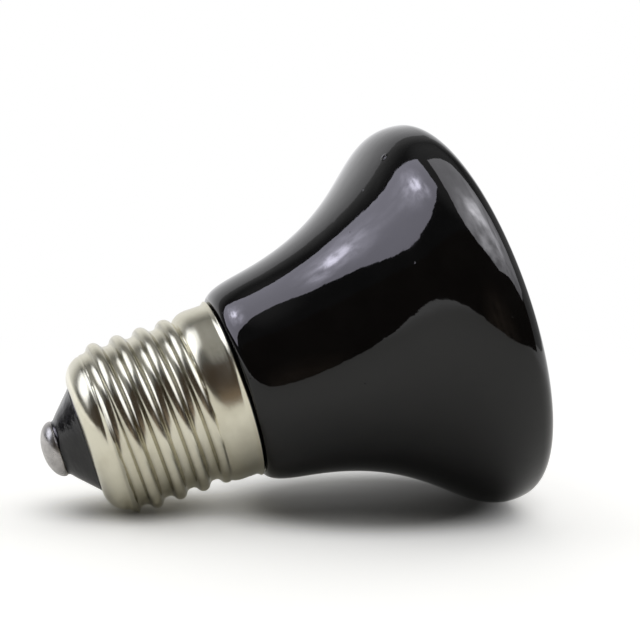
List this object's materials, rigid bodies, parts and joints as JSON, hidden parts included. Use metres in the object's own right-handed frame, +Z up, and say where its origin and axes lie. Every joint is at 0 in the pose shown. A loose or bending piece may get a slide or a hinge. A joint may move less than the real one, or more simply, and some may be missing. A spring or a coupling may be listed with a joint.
{
  "type": "ceramic heat emitter",
  "caption": "Bell-shaped black glazed ceramic heat emitter with a domed face and a plated screw cap, lying on its side.",
  "frame": {"origin": "middle of the bounding box at the floor that the emitter lies on", "axes": "+Z up; the emitter's own axis lies in the XZ plane and climbs towards +X, where the heating face is, by the angle at which it rests on its rim and its thread"},
  "size_m": [0.0742, 0.0608, 0.0585],
  "materials": {
    "glaze": "gloss",
    "plated_shell": "satin",
    "black_glass": "gloss",
    "solder": "satin"
  },
  "bodies": {
    "root": {"ceramic_body": "glaze", "screw_shell": "plated_shell", "glass_insulator": "black_glass", "centre_contact": "solder"}
  },
  "joints": []
}
